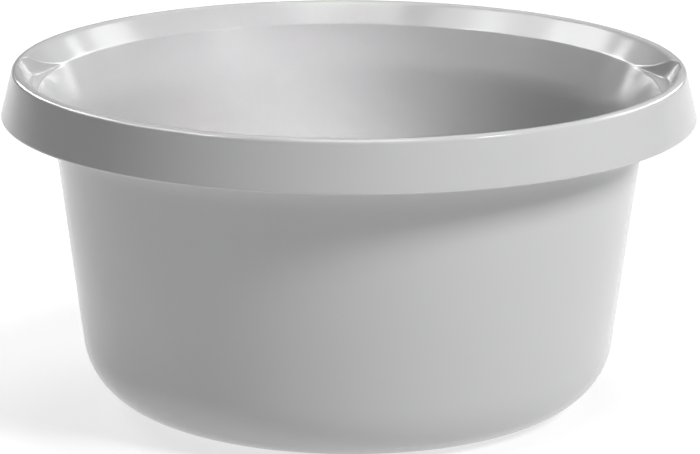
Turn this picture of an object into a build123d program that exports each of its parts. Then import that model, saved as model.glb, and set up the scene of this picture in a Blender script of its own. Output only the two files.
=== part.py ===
"""Round mixing tub, moulded in one piece, split into its named regions.

The tub stands on the XY plane with its axis on +Z, and its two finger scoops are on +X and -X.
Every region is cut from one wall section, so neighbours meet face to face. Units: millimetres.
"""
from build123d import *
from math import atan, hypot, radians, tan
import os

os.makedirs("parts", exist_ok=True)

# Overall sizes
overall_radius = 190.0        # lower edge of the skirt
overall_height = 187.0        # top of the rim
wall = 2.5                    # moulded wall thickness, everywhere

# Base
foot_inner_radius = 98.0      # the standing ring goes from here to the start of the heel
base_recess = 1.5             # how far the middle of the base stays off the ground
floor_top = base_recess + wall
heel_radius = 39.0            # outer rounding between base and wall
heel_middle = 135.0           # radius of the seam between lower and upper heel
heel_top = 37.0               # seam between upper heel and side wall
foot_edge_radius = 0.8

# Side wall, a cone: radius = wall_base_radius + wall_draft * height
wall_base_radius = 142.4      # where the outer cone would meet the ground
wall_draft = 0.126

# Rim: the side wall flares out to an edge, then a funnel deck, a crest and a skirt that leans out
deck_seam_height = 143.0      # seam between side wall and rim
deck_edge = (169.7, 174.8)    # radius and height of the edge between flare and funnel
flare_angle = 66.0            # of the flare below that edge, above level
deck_angle = 53.0             # of the funnel above it
flare_radius = 40.0           # rounding from the side wall to the flare
deck_edge_radius = 3.5        # rounding of the edge
crest_inner_radius = 3.9      # rounding from the funnel to the crest
crest_outer_radius = 3.2      # rounding from the crest to the skirt
skirt_lean = 14.3             # degrees from upright
skirt_bottom = 160.0
skirt_edge_radius = 1.0

# Finger scoops, one each side. The plan is a short back wall between two slanting ends
scoop_sector = 38.0           # degrees of the rim that belong to each scoop
scoop_floor = 174.3           # height of the flat bottom of the scoop
scoop_floor_reach = 174.5     # distance of the back wall from the tub's axis, at the scoop's floor
scoop_top_reach = 180.9       # and at the top of the rim
scoop_floor_half = 20.6       # half length of the back wall at the scoop's floor
scoop_top_half = 9.4          # and at the top of the rim
scoop_end_angle = 68.0        # of the ends, from the direction of the scoop's middle
scoop_corner_radius = 14.0
scoop_inner_limit = 150.0     # the cut runs out into the open middle of the tub


def cross(first, second):
    """Where two lines, each radius = offset + slope * height, meet: (radius, height)."""
    height = (second[0] - first[0]) / (first[1] - second[1])
    return first[0] + first[1] * height, height


def shifted(line, distance):
    """The same line moved outwards by a distance square to itself."""
    return line[0] + distance * hypot(1, line[1]), line[1]


def at_height(line, height):
    return line[0] + line[1] * height, height


def line_through(point, angle):
    """The line that rises outwards through a point, at an angle above level."""
    slope = 1 / tan(radians(angle))
    return point[0] - slope * point[1], slope


# The straight lines that the section is built from, as (offset, slope)
wall_outside = (wall_base_radius, wall_draft)
wall_inside = shifted(wall_outside, -wall)
skirt_slope = -tan(radians(skirt_lean))
# The skirt's lower edge is rounded, so its sharp corner lies a little outside the overall radius
skirt_corner_radius = overall_radius + skirt_edge_radius * (hypot(1, skirt_slope) - skirt_slope - 1)
skirt_outside = (skirt_corner_radius - skirt_slope * skirt_bottom, skirt_slope)
skirt_inside = shifted(skirt_outside, -wall)
flare_top = line_through(deck_edge, flare_angle)
flare_under = shifted(flare_top, wall)
deck_top = line_through(deck_edge, deck_angle)
deck_under = shifted(deck_top, wall)

# Corners of the upper and inner surface, and of the under and outer surface
floor_corner = at_height(wall_inside, floor_top)
flare_start = cross(wall_inside, flare_top)
crest_inner = at_height(deck_top, overall_height)
crest_outer = at_height(skirt_outside, overall_height)
skirt_tip_outside = at_height(skirt_outside, skirt_bottom)
skirt_tip_inside = at_height(skirt_inside, skirt_bottom)
crest_outer_under = at_height(skirt_inside, overall_height - wall)
crest_inner_under = at_height(deck_under, overall_height - wall)
deck_edge_under = cross(flare_under, deck_under)
flare_start_under = cross(wall_outside, flare_under)
heel_corner = at_height(wall_outside, 0)

# Rim deck and skirt meet at the highest point of the crest's outer rounding
skirt_seam_radius = at_height(shifted(skirt_outside, -crest_outer_radius),
                              overall_height - crest_outer_radius)[0]

# The heel's inner rounding starts where the outer one does
heel_turn = radians(90) - atan(wall_draft)
heel_start = heel_corner[0] - heel_radius * tan(heel_turn / 2)
inner_heel_radius = (floor_corner[0] - heel_start) / tan(heel_turn / 2)


def round_off(sketch, corners):
    """Fillet each named corner of a sketch: corners is a list of (corner, radius)."""
    for corner, radius in corners:
        fillet(sketch.vertices().sort_by_distance(corner)[0], radius)


with BuildSketch() as section:
    with BuildLine():
        Polyline(
            (0, base_recess), (foot_inner_radius, base_recess), (foot_inner_radius, 0),
            heel_corner, flare_start_under, deck_edge_under, crest_inner_under, crest_outer_under,
            skirt_tip_inside, skirt_tip_outside, crest_outer, crest_inner, deck_edge, flare_start,
            floor_corner,
            (0, floor_top), close=True)
    make_face()
    round_off(section, [
        ((foot_inner_radius, 0), foot_edge_radius),
        (heel_corner, heel_radius),
        (floor_corner, inner_heel_radius),
        (flare_start, flare_radius),
        (flare_start_under, flare_radius - wall),
        (deck_edge, deck_edge_radius),
        (deck_edge_under, deck_edge_radius - wall),
        (crest_inner, crest_inner_radius),
        (crest_inner_under, crest_inner_radius - wall),
        (crest_outer, crest_outer_radius),
        (crest_outer_under, crest_outer_radius - wall),
        (skirt_tip_inside, skirt_edge_radius),
        (skirt_tip_outside, skirt_edge_radius),
    ])

# Everything under the funnel and inside the skirt, which the scoops are carved from
with BuildSketch() as rim_filling:
    with BuildLine():
        Polyline(
            at_height(wall_inside, deck_seam_height), flare_start, deck_edge, crest_inner,
            (skirt_seam_radius, overall_height), (skirt_seam_radius, deck_seam_height), close=True)
    make_face()
    round_off(rim_filling, [
        (flare_start, flare_radius), (deck_edge, deck_edge_radius), (crest_inner, crest_inner_radius)])


def part_of(sketch, inner, outer, low, high):
    """The part of a section sketch between two radii and two heights."""
    with BuildSketch(Plane.XZ) as piece:
        add(sketch.sketch_local)
        with Locations(((inner + outer) / 2, (low + high) / 2)):
            Rectangle(outer - inner, high - low, mode=Mode.INTERSECT)
    return piece.sketch


def arc_of(profile, start, sweep):
    """A profile swept round the tub's axis, from one azimuth through an angle."""
    with BuildPart() as arc:
        add(profile)
        revolve(axis=Axis.Z, revolution_arc=sweep)
    return arc.part.rotate(Axis.Z, start)


def scoop_plan(height, reach, half_back, gap):
    """Plan of the right scoop at a height: a back wall of a given reach, and slanting ends."""
    mouth = half_back + (reach - scoop_inner_limit) * tan(radians(scoop_end_angle))
    with BuildSketch(Plane.XY.offset(height)) as plan:
        with BuildLine():
            Polyline(
                (scoop_inner_limit, -mouth), (reach, -half_back), (reach, half_back),
                (scoop_inner_limit, mouth), close=True)
        make_face()
        fillet(plan.vertices().group_by(Axis.X)[-1], scoop_corner_radius + gap)
    return plan.sketch


def scoop_cavity(gap):
    """The space of the right scoop or, with a gap, that space grown by the wall around it."""
    low = scoop_floor - gap
    high = overall_height + wall
    lean = (scoop_top_reach - scoop_floor_reach) / (overall_height - scoop_floor)
    growth = (scoop_top_half - scoop_floor_half) / (overall_height - scoop_floor)
    reach = scoop_floor_reach + gap - lean * gap
    half_back = scoop_floor_half + gap * tan(radians(90 - scoop_end_angle) / 2) - growth * gap
    with BuildPart() as cavity:
        add(scoop_plan(low, reach, half_back, gap))
        add(scoop_plan(high, reach + lean * (high - low), half_back + growth * (high - low), gap))
        loft(ruled=True)
    return cavity.part


# Flat middle of the base
with BuildPart() as base_panel:
    add(part_of(section, 0, foot_inner_radius, 0, floor_top))
    revolve(axis=Axis.Z)
base_panel.part.label = "base_panel"
export_step(base_panel.part, "parts/base_panel.step")

# Ring that the tub stands on
with BuildPart() as foot_ring:
    add(part_of(section, foot_inner_radius, heel_start, 0, floor_top))
    revolve(axis=Axis.Z)
foot_ring.part.label = "foot_ring"
export_step(foot_ring.part, "parts/foot_ring.step")

# Rounded corner between base and side wall, in two rings
with BuildPart() as lower_heel:
    add(part_of(section, heel_start, heel_middle, 0, heel_top))
    revolve(axis=Axis.Z)
lower_heel.part.label = "lower_heel"
export_step(lower_heel.part, "parts/lower_heel.step")

with BuildPart() as upper_heel:
    add(part_of(section, heel_middle, overall_radius, 0, heel_top))
    revolve(axis=Axis.Z)
upper_heel.part.label = "upper_heel"
export_step(upper_heel.part, "parts/upper_heel.step")

# Tapering round wall
with BuildPart() as side_wall:
    add(part_of(section, heel_start, at_height(wall_outside, deck_seam_height)[0] + wall,
                heel_top, deck_seam_height))
    revolve(axis=Axis.Z)
side_wall.part.label = "side_wall"
export_step(side_wall.part, "parts/side_wall.step")

# Turned-down skirt with the outer half of the crest
with BuildPart() as rim_skirt:
    add(part_of(section, skirt_seam_radius, overall_radius + wall, skirt_bottom, overall_height))
    revolve(axis=Axis.Z)
rim_skirt.part.label = "rim_skirt"
export_step(rim_skirt.part, "parts/rim_skirt.step")

deck_section = part_of(section, heel_start, skirt_seam_radius, deck_seam_height, overall_height)
filling_section = part_of(rim_filling, heel_start, skirt_seam_radius, deck_seam_height, overall_height)

# Funnel deck between the scoops, at the back and at the front
with BuildPart() as rim_deck_back:
    add(arc_of(deck_section, scoop_sector / 2, 180 - scoop_sector))
rim_deck_back.part.label = "rim_deck_back"
export_step(rim_deck_back.part, "parts/rim_deck_back.step")

with BuildPart() as rim_deck_front:
    add(arc_of(deck_section, 180 + scoop_sector / 2, 180 - scoop_sector))
rim_deck_front.part.label = "rim_deck_front"
export_step(rim_deck_front.part, "parts/rim_deck_front.step")

# Right scoop: its stretch of the rim, with a dished shell let into the funnel
scoop_cavity_grown = scoop_cavity(wall)

with BuildPart() as dish:
    add(arc_of(filling_section, -scoop_sector / 2, scoop_sector))
    add(scoop_cavity_grown, mode=Mode.INTERSECT)
    add(scoop_cavity(0), mode=Mode.SUBTRACT)

with BuildPart() as right_scoop:
    add(arc_of(deck_section, -scoop_sector / 2, scoop_sector))
    add(scoop_cavity_grown, mode=Mode.SUBTRACT)
    add(dish.part)
right_scoop.part.label = "right_scoop"
export_step(right_scoop.part, "parts/right_scoop.step")

# Left scoop: the same, turned half round
with BuildPart() as left_scoop:
    add(right_scoop.part.rotate(Axis.Z, 180))
left_scoop.part.label = "left_scoop"
export_step(left_scoop.part, "parts/left_scoop.step")
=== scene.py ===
"""Round mixing tub: the looks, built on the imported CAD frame.

The tub is one injection moulding. Its regions are separate meshes that share their seams exactly,
all made from one wall section turned about the Z axis. Section sizes are in millimetres.
"""
import math

import bmesh
import bpy
import numpy as np
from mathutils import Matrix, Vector


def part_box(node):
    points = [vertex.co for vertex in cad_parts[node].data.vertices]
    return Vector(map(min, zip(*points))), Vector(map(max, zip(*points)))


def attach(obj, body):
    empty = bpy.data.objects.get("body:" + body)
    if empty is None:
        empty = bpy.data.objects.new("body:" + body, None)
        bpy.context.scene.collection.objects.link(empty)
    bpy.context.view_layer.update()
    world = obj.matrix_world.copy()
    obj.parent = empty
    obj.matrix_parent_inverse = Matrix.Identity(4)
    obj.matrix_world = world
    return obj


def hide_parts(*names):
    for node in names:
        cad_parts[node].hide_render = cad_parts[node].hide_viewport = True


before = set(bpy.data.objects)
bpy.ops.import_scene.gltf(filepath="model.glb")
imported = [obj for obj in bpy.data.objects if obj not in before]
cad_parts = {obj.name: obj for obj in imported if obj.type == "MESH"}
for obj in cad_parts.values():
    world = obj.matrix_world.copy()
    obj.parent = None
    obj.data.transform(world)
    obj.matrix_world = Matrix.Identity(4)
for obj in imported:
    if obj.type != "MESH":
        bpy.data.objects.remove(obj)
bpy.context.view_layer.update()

MM = 0.001


# ---------------------------------------------------------------- sizes taken from the frame

def low(node, axis):
    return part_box(node)[0][axis] / MM


def high(node, axis):
    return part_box(node)[1][axis] / MM


X, Y, Z = range(3)
OVERALL_RADIUS = min(high("rim_skirt", X), high("rim_skirt", Y),
                     -low("rim_skirt", X), -low("rim_skirt", Y))
RIM_TOP = high("rim_skirt", Z)
SKIRT_BOTTOM = low("rim_skirt", Z)
DECK_SEAM = high("side_wall", Z)
HEEL_SEAM = low("side_wall", Z)
WALL_AT_DECK_SEAM = high("side_wall", X)
WALL_AT_HEEL_SEAM = high("upper_heel", X)
PANEL_RADIUS = high("base_panel", X)
HEEL_START = high("foot_ring", X)
SKIRT_SEAM = high("right_scoop", X)
BASE_RECESS = low("base_panel", Z)
FLOOR_TOP = high("base_panel", Z)
WALL = FLOOR_TOP - BASE_RECESS

# ---------------------------------------------------------------- sizes that the frame doesn't hold

DECK_EDGE = (169.7, 174.8)    # radius and height of the edge between flare and funnel
FLARE_ANGLE = 66.0            # of the flare below that edge, degrees above level
DECK_ANGLE = 53.0             # of the funnel above it
FLARE_RADIUS = 40.0           # rounding from the side wall to the flare
DECK_EDGE_RADIUS = 3.5
CREST_INNER_RADIUS = 3.9
CREST_OUTER_RADIUS = 3.2
SKIRT_LEAN = 14.3             # degrees from upright
EDGE_RADIUS = 1.0             # lower edge of the skirt
FOOT_EDGE_RADIUS = 0.8
GATE_STUB_RADIUS = 2.2        # stub left by the moulding gate, under the middle of the base
GATE_STUB_DROP = 0.7
GATE_DIMPLE_RADIUS = 9.0      # shallow dimple round the stub
GATE_DIMPLE_DEPTH = 0.5
GATE_DIMPLE_SLOPE = 2.0       # width of the dimple's sloping border
GATE_DIMPLE_ROUNDING = 1.0
GATE_STUB_ROUNDING = 0.2

SCOOP_FLOOR = 174.3
SCOOP_FLOOR_REACH = 174.5     # distance of the scoop's back wall from the axis, at its floor
SCOOP_TOP_REACH = 180.9       # and at the top of the rim
SCOOP_FLOOR_HALF = 20.6       # half length of the back wall at the floor
SCOOP_TOP_HALF = 9.4
SCOOP_END_ANGLE = math.radians(68)
SCOOP_SECTOR = math.radians(19)    # half of the rim sector that belongs to a scoop

ARC_STEP = math.radians(4)    # between points on a rounding
RING_STEPS = 360              # points round the tub
SCOOP_STEPS = 420             # points across one scoop sector
EDGE_BLEND = 1.0              # how far the scoop's upper edges are softened, in height
CORNER_BLEND = 10.0           # and the corners between its back wall and its ends
FLOOR_BLEND = 4.0             # and the corner between its floor and its walls
WALL_SPACING = 6.0            # between points along the straight stretches of the section
DECK_SPACING = 2.0
SCOOP_TOP_SPACING = 0.3
SCOOP_UNDER_SPACING = 0.6
SHARP_ANGLE = math.radians(50)
SAME_POINT = 1e-6


# ---------------------------------------------------------------- wall section

def cross(first, second):
    """Where two lines, each radius = offset + slope * height, meet: (radius, height)."""
    height = (second[0] - first[0]) / (first[1] - second[1])
    return first[0] + first[1] * height, height


def shifted(line, distance):
    return line[0] + distance * math.hypot(1, line[1]), line[1]


def at_height(line, height):
    return line[0] + line[1] * height, height


def line_through(point, angle):
    """The line that rises outwards through a point, at an angle in degrees above level."""
    slope = 1 / math.tan(math.radians(angle))
    return point[0] - slope * point[1], slope


draft = (WALL_AT_DECK_SEAM - WALL_AT_HEEL_SEAM) / (DECK_SEAM - HEEL_SEAM)
wall_outside = (WALL_AT_HEEL_SEAM - draft * HEEL_SEAM, draft)
wall_inside = shifted(wall_outside, -WALL)
lean = -math.tan(math.radians(SKIRT_LEAN))
skirt_corner = OVERALL_RADIUS + EDGE_RADIUS * (math.hypot(1, lean) - lean - 1)
skirt_outside = (skirt_corner - lean * SKIRT_BOTTOM, lean)
skirt_inside = shifted(skirt_outside, -WALL)
flare_top = line_through(DECK_EDGE, FLARE_ANGLE)
flare_under = shifted(flare_top, WALL)
deck_top = line_through(DECK_EDGE, DECK_ANGLE)
deck_under = shifted(deck_top, WALL)


def rounded_path(corners):
    """Points along a path of (corner, radius) pairs, with each corner rounded by an arc."""
    points = [np.array(corners[0][0], float)]
    for i in range(1, len(corners) - 1):
        here = np.array(corners[i][0], float)
        radius = corners[i][1]
        before = np.array(corners[i - 1][0], float) - here
        after = np.array(corners[i + 1][0], float) - here
        before /= np.linalg.norm(before)
        after /= np.linalg.norm(after)
        if radius == 0:
            points.append(here)
            continue
        half = math.acos(np.clip(before @ after, -1, 1)) / 2
        middle = before + after
        centre = here + middle / np.linalg.norm(middle) * radius / math.sin(half)
        start = here + before * radius / math.tan(half) - centre
        end = here + after * radius / math.tan(half) - centre
        turn = math.pi - 2 * half
        steps = max(2, math.ceil(turn / ARC_STEP))
        for k in range(steps + 1):
            share = k / steps
            points.append(centre + (math.sin((1 - share) * turn) * start
                                    + math.sin(share * turn) * end) / math.sin(turn))
    points.append(np.array(corners[-1][0], float))
    return np.array(points)


def refined(path, spacing):
    """The same path with its long stretches divided."""
    points = [path[0]]
    for a, b in zip(path[:-1], path[1:]):
        parts = max(1, math.ceil(np.linalg.norm(b - a) / spacing))
        points += [a + (b - a) * k / parts for k in range(1, parts + 1)]
    return np.array(points)


def at_radius(path, radius):
    return np.array([radius, np.interp(radius, path[:, 0], path[:, 1])])


def between(path, first, last):
    """The stretch of a path from one radius to another; its radius never falls along the way."""
    kept = [p for p in path if first + SAME_POINT < p[0] < last - SAME_POINT]
    return np.array([at_radius(path, first)] + kept + [at_radius(path, last)])


def beyond(path, first):
    """The rest of a path, from a radius to its end."""
    return np.vstack([at_radius(path, first), path[path[:, 0] > first + SAME_POINT]])


heel_turn = math.pi / 2 - math.atan(draft)
floor_corner = at_height(wall_inside, FLOOR_TOP)
heel_corner = at_height(wall_outside, 0)
inner_heel_radius = (floor_corner[0] - HEEL_START) / math.tan(heel_turn / 2)
outer_heel_radius = (heel_corner[0] - HEEL_START) / math.tan(heel_turn / 2)

upper_path = rounded_path([
    ((0, FLOOR_TOP), 0),
    (floor_corner, inner_heel_radius),
    (cross(wall_inside, flare_top), FLARE_RADIUS),
    (DECK_EDGE, DECK_EDGE_RADIUS),
    (at_height(deck_top, RIM_TOP), CREST_INNER_RADIUS),
    (at_height(skirt_outside, RIM_TOP), CREST_OUTER_RADIUS),
    (at_height(skirt_outside, SKIRT_BOTTOM), EDGE_RADIUS),
    ((skirt_corner - WALL / 2, SKIRT_BOTTOM), 0),
])
under_path = rounded_path([
    ((PANEL_RADIUS + FOOT_EDGE_RADIUS, 0), 0),
    (heel_corner, outer_heel_radius),
    (cross(wall_outside, flare_under), FLARE_RADIUS - WALL),
    (cross(flare_under, deck_under), DECK_EDGE_RADIUS - WALL),
    (at_height(deck_under, RIM_TOP - WALL), CREST_INNER_RADIUS - WALL),
    (at_height(skirt_inside, RIM_TOP - WALL), CREST_OUTER_RADIUS - WALL),
    (at_height(skirt_inside, SKIRT_BOTTOM), EDGE_RADIUS),
    ((skirt_corner - WALL / 2, SKIRT_BOTTOM), 0),
])


# ---------------------------------------------------------------- finger scoops

def soft_min(a, b, reach):
    """The smaller of two heights, blended where they differ by less than reach."""
    overlap = np.maximum(reach - np.abs(a - b), 0) / reach
    return np.minimum(a, b) - overlap ** 2 * reach / 4


def soft_max(a, b, reach):
    return -soft_min(-a, -b, reach)


def scoop_height(x, y, gap):
    """Height of the scoop's surface over a plan point; gap 0 is its top face, WALL its underside."""
    rise = RIM_TOP - SCOOP_FLOOR
    ahead, aside = math.sin(SCOOP_END_ANGLE), math.cos(SCOOP_END_ANGLE)
    floor_line = SCOOP_FLOOR_REACH * ahead + SCOOP_FLOOR_HALF * aside
    top_line = SCOOP_TOP_REACH * ahead + SCOOP_TOP_HALF * aside
    past_back = (x - SCOOP_FLOOR_REACH - gap) * rise / (SCOOP_TOP_REACH - SCOOP_FLOOR_REACH)
    past_end = (x * ahead + np.abs(y) * aside - floor_line - gap) * rise / (top_line - floor_line)
    walls = soft_max(past_back, past_end, CORNER_BLEND)
    return SCOOP_FLOOR + soft_max(walls, np.full_like(x, -gap), FLOOR_BLEND)


# ---------------------------------------------------------------- meshes

def make_object(name, points, faces, replaced):
    """A piece of the moulding, shaded smooth except at true edges."""
    mesh = bpy.data.meshes.new(name)
    mesh.from_pydata([tuple(p) for p in points * MM], [], faces)
    tidy = bmesh.new()
    tidy.from_mesh(mesh)
    bmesh.ops.remove_doubles(tidy, verts=tidy.verts, dist=1e-7)
    bmesh.ops.recalc_face_normals(tidy, faces=tidy.faces)
    tidy.to_mesh(mesh)
    tidy.free()
    mesh.shade_smooth()
    mesh.set_sharp_from_angle(angle=SHARP_ANGLE)
    piece = bpy.data.objects.new(name, mesh)
    bpy.context.scene.collection.objects.link(piece)
    piece.data.materials.append(plastic)
    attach(piece, "root")
    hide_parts(*replaced)
    return piece


def turned(name, loops, azimuths, replaced):
    """A closed solid from one section loop per azimuth, all with as many points."""
    count, size = loops.shape[:2]
    full = math.isclose(azimuths[-1] - azimuths[0] + azimuths[1] - azimuths[0], 2 * math.pi)
    radius = loops[:, :, 0]
    points = np.stack([radius * np.cos(azimuths)[:, None],
                       radius * np.sin(azimuths)[:, None], loops[:, :, 1]], axis=2)
    faces = []
    for i in range(count if full else count - 1):
        j = (i + 1) % count
        for k in range(size):
            m = (k + 1) % size
            faces.append((i * size + k, j * size + k, j * size + m, i * size + m))
    if not full:
        faces.append(tuple(range(size)))
        faces.append(tuple((count - 1) * size + k for k in reversed(range(size))))
    return make_object(name, points.reshape(-1, 3), faces, replaced)


def round_the_tub(start=0.0, end=2 * math.pi):
    steps = round(RING_STEPS * (end - start) / (2 * math.pi))
    whole = math.isclose(end - start, 2 * math.pi)
    return np.linspace(start, end, steps + (0 if whole else 1), endpoint=not whole)


def ring(name, upper, under, replaced, start=0.0, end=2 * math.pi):
    azimuths = round_the_tub(start, end)
    loop = np.vstack([upper, under[::-1]])
    return turned(name, np.repeat(loop[None], len(azimuths), 0), azimuths, replaced)


def scoop_sector(name, middle, replaced):
    """The sector of the rim that holds a scoop: the funnel pressed down to the scoop's surface."""
    azimuths = np.linspace(-SCOOP_SECTOR, SCOOP_SECTOR, SCOOP_STEPS + 1)
    upper = refined(between(upper_path, deck_inner, SKIRT_SEAM), SCOOP_TOP_SPACING)
    under = refined(between(under_path, WALL_AT_DECK_SEAM, SKIRT_SEAM), SCOOP_UNDER_SPACING)
    loops = []
    for azimuth in azimuths:
        faces = []
        for path, gap in ((upper, 0.0), (under, WALL)):
            x, y = path[:, 0] * math.cos(azimuth), path[:, 0] * math.sin(azimuth)
            pressed = soft_min(path[:, 1], scoop_height(x, y, gap), EDGE_BLEND)
            faces.append(np.stack([path[:, 0], pressed], axis=1))
        loops.append(np.vstack([faces[0], faces[1][::-1]]))
    return turned(name, np.array(loops), azimuths + middle, replaced)


# ---------------------------------------------------------------- material

class Nodes:
    """A short way to add and link the nodes of one node tree."""

    def __init__(self, tree):
        self.tree = tree

    def add(self, kind, **inputs):
        node = self.tree.nodes.new(kind)
        for key, value in inputs.items():
            socket = node.inputs[key.replace("_", " ")]
            if isinstance(value, bpy.types.NodeSocket):
                self.tree.links.new(value, socket)
            else:
                socket.default_value = value
        return node

    def math(self, operation, *values):
        node = self.tree.nodes.new("ShaderNodeMath")
        node.operation = operation
        for socket, value in zip(node.inputs, values):
            if isinstance(value, bpy.types.NodeSocket):
                self.tree.links.new(value, socket)
            else:
                socket.default_value = value
        return node.outputs[0]

    def noise(self, where, scale, detail=2.0):
        return self.add("ShaderNodeTexNoise", Vector=where, Scale=scale, Detail=detail).outputs["Fac"]

    def stretched(self, where, scale, turn):
        """Coordinates drawn out along one direction, for scratches."""
        return self.add("ShaderNodeMapping", Vector=where, Scale=scale, Rotation=turn).outputs["Vector"]

    def above(self, value, first, full):
        """0 below first, 1 above full, and smooth between."""
        node = self.tree.nodes.new("ShaderNodeMapRange")
        node.interpolation_type = "SMOOTHSTEP"
        self.tree.links.new(value, node.inputs["Value"])
        node.inputs["From Min"].default_value = first
        node.inputs["From Max"].default_value = full
        return node.outputs["Result"]


GREY = 0.405                  # the plastic's base colour, with up to CLOUD_SHADE more
CLOUD_SHADE = 0.03
SCRATCH_SHADE = 0.004
SCUFF_SHADE = -0.03
BLUE_TINT = 1.004
ROUGHNESS = 0.15
CLOUD_ROUGHNESS = 0.05
SCRATCH_ROUGHNESS = 0.015
SCUFF_ROUGHNESS = 0.3
PLASTIC_IOR = 1.5
SCUFFED_BELOW = 0.001         # metres above the ground: the standing ring, not the recess
RIPPLE_DEPTH = 0.0012         # metres
GRAIN_DEPTH = 0.00004


def scratch_pattern(nodes, where):
    """Hairlines in two directions, which show only in patches."""
    upright = nodes.noise(nodes.stretched(where, (260, 260, 9), (0.3, 0.1, 0)), 1.0, 1.0)
    crosswise = nodes.noise(nodes.stretched(where, (12, 240, 240), (0, 0.5, 0.9)), 1.0, 1.0)
    hairlines = nodes.math("ADD", nodes.above(upright, 0.70, 0.76), nodes.above(crosswise, 0.71, 0.77))
    patches = nodes.above(nodes.noise(where, 14.0, 1.0), 0.5, 0.68)
    return nodes.math("MULTIPLY", hairlines, patches)


def scuff_pattern(nodes, where):
    """Wear on the standing ring, where the tub is dragged about."""
    height = nodes.add("ShaderNodeSeparateXYZ", Vector=where).outputs["Z"]
    underside = nodes.above(height, SCUFFED_BELOW, 0.0)
    return nodes.math("MULTIPLY", underside, nodes.above(nodes.noise(where, 420.0, 4.0), 0.42, 0.62))


def grey_polypropylene():
    """Glossy moulded plastic: slow ripples, a fine grain, hairline scratches and a scuffed foot."""
    material = bpy.data.materials.new("grey_polypropylene")
    material.use_nodes = True
    nodes = Nodes(material.node_tree)
    link = material.node_tree.links.new
    shader = material.node_tree.nodes["Principled BSDF"]
    where = nodes.add("ShaderNodeTexCoord").outputs["Object"]
    cloud = nodes.noise(where, 9.0)
    grain = nodes.noise(where, 900.0)
    scratches = scratch_pattern(nodes, where)
    scuffs = scuff_pattern(nodes, where)

    shade = nodes.math("MULTIPLY_ADD", cloud, CLOUD_SHADE, GREY)
    shade = nodes.math("MULTIPLY_ADD", scratches, SCRATCH_SHADE, shade)
    shade = nodes.math("MULTIPLY_ADD", scuffs, SCUFF_SHADE, shade)
    blue = nodes.math("MULTIPLY", shade, BLUE_TINT)
    colour = nodes.add("ShaderNodeCombineColor", Red=shade, Green=shade, Blue=blue)
    link(colour.outputs["Color"], shader.inputs["Base Color"])

    roughness = nodes.math("MULTIPLY_ADD", cloud, CLOUD_ROUGHNESS, ROUGHNESS)
    roughness = nodes.math("MULTIPLY_ADD", scratches, SCRATCH_ROUGHNESS, roughness)
    roughness = nodes.math("MULTIPLY_ADD", scuffs, SCUFF_ROUGHNESS, roughness)
    link(roughness, shader.inputs["Roughness"])
    shader.inputs["IOR"].default_value = PLASTIC_IOR

    slow_waves = nodes.noise(where, 16.0, 1.0)
    ripple = nodes.add("ShaderNodeBump", Height=slow_waves, Strength=0.25, Distance=RIPPLE_DEPTH)
    relief = nodes.math("MULTIPLY_ADD", scuffs, -1.0, nodes.math("MULTIPLY", grain, 0.25))
    bump = nodes.add("ShaderNodeBump", Height=relief, Strength=0.3, Distance=GRAIN_DEPTH,
                     Normal=ripple.outputs["Normal"])
    link(bump.outputs["Normal"], shader.inputs["Normal"])
    return material


plastic = grey_polypropylene()

# ---------------------------------------------------------------- the tub

panel_under = rounded_path([
    ((0, BASE_RECESS - GATE_STUB_DROP), 0),
    ((GATE_STUB_RADIUS, BASE_RECESS - GATE_STUB_DROP), GATE_STUB_ROUNDING),
    ((GATE_STUB_RADIUS, BASE_RECESS + GATE_DIMPLE_DEPTH), GATE_STUB_ROUNDING),
    ((GATE_DIMPLE_RADIUS - GATE_DIMPLE_SLOPE, BASE_RECESS + GATE_DIMPLE_DEPTH), GATE_DIMPLE_ROUNDING),
    ((GATE_DIMPLE_RADIUS, BASE_RECESS), GATE_DIMPLE_ROUNDING),
    ((PANEL_RADIUS, BASE_RECESS), 0)])
ring("base_panel_moulded", between(upper_path, 0, PANEL_RADIUS), panel_under, ["base_panel"])
foot_under = rounded_path([
    ((PANEL_RADIUS, BASE_RECESS), 0), ((PANEL_RADIUS, 0), FOOT_EDGE_RADIUS), ((HEEL_START, 0), 0)])
ring("foot_ring_moulded", between(upper_path, PANEL_RADIUS, HEEL_START), foot_under, ["foot_ring"])
wall_inner_heel = at_height(wall_inside, HEEL_SEAM)[0]
deck_inner = at_height(wall_inside, DECK_SEAM)[0]
ring("heel_moulded", between(upper_path, HEEL_START, wall_inner_heel),
     between(under_path, HEEL_START, WALL_AT_HEEL_SEAM), ["lower_heel", "upper_heel"])
ring("side_wall_moulded", refined(between(upper_path, wall_inner_heel, deck_inner), WALL_SPACING),
     refined(between(under_path, WALL_AT_HEEL_SEAM, WALL_AT_DECK_SEAM), WALL_SPACING), ["side_wall"])
deck_upper = refined(between(upper_path, deck_inner, SKIRT_SEAM), DECK_SPACING)
deck_lower = refined(between(under_path, WALL_AT_DECK_SEAM, SKIRT_SEAM), DECK_SPACING)
ring("rim_deck_back_moulded", deck_upper, deck_lower, ["rim_deck_back"],
     SCOOP_SECTOR, math.pi - SCOOP_SECTOR)
ring("rim_deck_front_moulded", deck_upper, deck_lower, ["rim_deck_front"],
     math.pi + SCOOP_SECTOR, 2 * math.pi - SCOOP_SECTOR)
scoop_sector("right_scoop_moulded", 0.0, ["right_scoop"])
scoop_sector("left_scoop_moulded", math.pi, ["left_scoop"])
ring("rim_skirt_moulded", refined(beyond(upper_path, SKIRT_SEAM), WALL_SPACING),
     refined(beyond(under_path, SKIRT_SEAM), WALL_SPACING), ["rim_skirt"])

# ---------------------------------------------------------------- stage, camera and light

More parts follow.
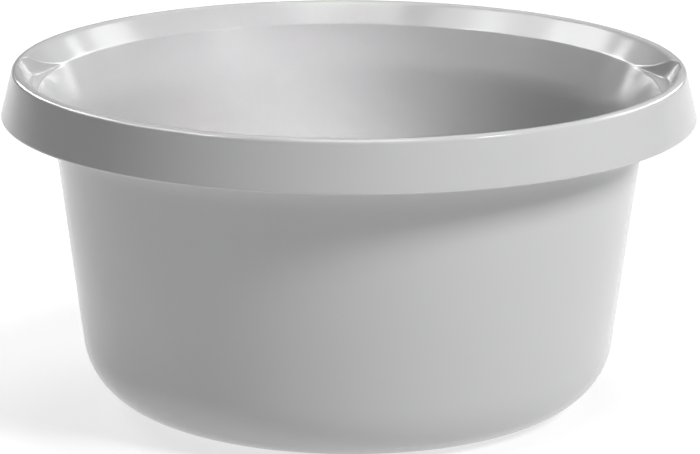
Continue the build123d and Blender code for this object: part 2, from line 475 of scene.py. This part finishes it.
FLOOR_SIZE = 12               # metres
FLOOR_GREY = 0.35
FLOOR_GLOW = 0.66             # the floor is lit from below too, like a light table
FLOOR_ROUGHNESS = 0.9
CAMERA_DISTANCE = 2.0
CAMERA_ELEVATION = math.radians(14.56)
CAMERA_ROLL = math.radians(0.262)
CAMERA_AIM = Vector((0.0008, 0, 0.0946))
CAMERA_LENS = 186.1
CAMERA_SENSOR = 36.0
LAMP_DISTANCE = 2.2           # metres from LAMP_AIM
LAMP_AIM = Vector((0, 0, 0.1))
ROOM_LIGHT = 0.02             # soft light from everywhere
BACK_WALL_LIGHT = 0.1         # pale wall behind the tub, strongest up to BACK_WALL_FULL
BACK_WALL_FULL = 0.30         # as the sine of the height angle
BACK_WALL_END = 0.62

INSIDE_LAMP_DISTANCE = 1.0    # a narrow lamp whose beam goes over the front rim, onto the back wall
INSIDE_LAMP_AIM = Vector((-0.03, 0.15, 0.07))
INSIDE_LAMP_SPREAD = math.radians(9)

# Lamps: name, azimuth (0 in front of the tub, 90 on its right), elevation, size and power.
# The first group lights the surfaces, and the second group is seen only in their gloss.
LAMPS = [
    ("key_light", 54, 37, 0.5, 43),
    ("back_light", 180, 60, 1.0, 22),
    ("back_left_light", 220, 30, 0.9, 14),
    ("overhead_light", 40, 74, 0.6, 24),
]
SHEENS = [
    ("back_left_sheen", 243, 36, 0.8, 17),
    ("left_sheen", 268, 47, 1.0, 17),
    ("front_left_sheen", 292, 54, 0.8, 10),
    ("low_left_sheen", 217, 15, 0.35, 4),
    ("middle_left_sheen", 228, 23, 0.4, 8),
    ("low_right_sheen", 143, 15, 0.35, 3),
    ("middle_right_sheen", 132, 23, 0.4, 6),
    ("right_sheen", 117, 33, 0.7, 9),
    ("front_sheen", 0, 45, 1.6, 3),
    ("key_sheen", 60, 50, 0.25, 7),
    ("left_lamp_sheen", 300, 50, 0.25, 5),
    ("overhead_sheen", 0, 80, 1.0, 20),
]


def studio_floor():
    """A wide pale floor."""
    bpy.ops.mesh.primitive_plane_add(size=FLOOR_SIZE)
    floor = bpy.context.object
    floor.name = "studio_floor"
    pale = bpy.data.materials.new("studio_floor")
    pale.use_nodes = True
    paint = pale.node_tree.nodes["Principled BSDF"]
    paint.inputs["Base Color"].default_value = (FLOOR_GREY, FLOOR_GREY, FLOOR_GREY, 1)
    paint.inputs["Roughness"].default_value = FLOOR_ROUGHNESS
    paint.inputs["Emission Color"].default_value = (1, 1, 1, 1)
    paint.inputs["Emission Strength"].default_value = FLOOR_GLOW
    floor.data.materials.append(pale)


def studio_camera():
    """The camera, in front of the tub and a little above it."""
    camera = bpy.data.objects.new("camera", bpy.data.cameras.new("camera"))
    bpy.context.scene.collection.objects.link(camera)
    bpy.context.scene.camera = camera
    towards = Vector((0, -math.cos(CAMERA_ELEVATION), math.sin(CAMERA_ELEVATION)))
    camera.location = CAMERA_AIM + CAMERA_DISTANCE * towards
    camera.rotation_euler = (math.pi / 2 - CAMERA_ELEVATION, 0, 0)
    camera.rotation_mode = "XYZ"
    camera.rotation_euler.rotate_axis("Z", CAMERA_ROLL)
    camera.data.lens = CAMERA_LENS
    camera.data.sensor_width = CAMERA_SENSOR
    camera.data.clip_start = 0.05


def studio_room():
    """Dim light from everywhere, and a little more from a pale wall behind the tub."""
    world = bpy.data.worlds.new("studio")
    bpy.context.scene.world = world
    world.use_nodes = True
    room = Nodes(world.node_tree)
    direction = room.add("ShaderNodeTexCoord").outputs["Generated"]
    towards = room.add("ShaderNodeSeparateXYZ", Vector=direction)
    low_down = room.above(towards.outputs["Z"], BACK_WALL_END, BACK_WALL_FULL)
    behind = room.above(towards.outputs["Y"], -0.05, 0.45)
    wall_light = room.math("MULTIPLY", low_down, behind)
    strength = room.math("MULTIPLY_ADD", wall_light, BACK_WALL_LIGHT, ROOM_LIGHT)
    background = world.node_tree.nodes["Background"]
    background.inputs["Color"].default_value = (1, 1, 1, 1)
    world.node_tree.links.new(strength, background.inputs["Strength"])


def softbox(name, azimuth, elevation, size, power, distance=LAMP_DISTANCE, aim=LAMP_AIM):
    """A square area light aimed at the tub, which the camera doesn't see."""
    lamp = bpy.data.objects.new(name, bpy.data.lights.new(name, "AREA"))
    bpy.context.scene.collection.objects.link(lamp)
    a, e = math.radians(azimuth), math.radians(elevation)
    towards = Vector((math.sin(a) * math.cos(e), -math.cos(a) * math.cos(e), math.sin(e)))
    lamp.location = towards * distance + aim
    lamp.rotation_mode = "QUATERNION"
    lamp.rotation_quaternion = towards.to_track_quat("Z", "Y")
    lamp.data.size = size
    lamp.data.energy = power
    lamp.visible_camera = False
    return lamp


studio_floor()
studio_camera()
studio_room()
for row in LAMPS:
    softbox(*row).visible_glossy = False
for row in SHEENS:
    softbox(*row).visible_diffuse = False
inside = softbox("inside_light", 352, 52, 0.1, 0.05, INSIDE_LAMP_DISTANCE, INSIDE_LAMP_AIM)
inside.visible_glossy = False
inside.data.spread = INSIDE_LAMP_SPREAD
bpy.context.scene.view_settings.view_transform = "Standard"
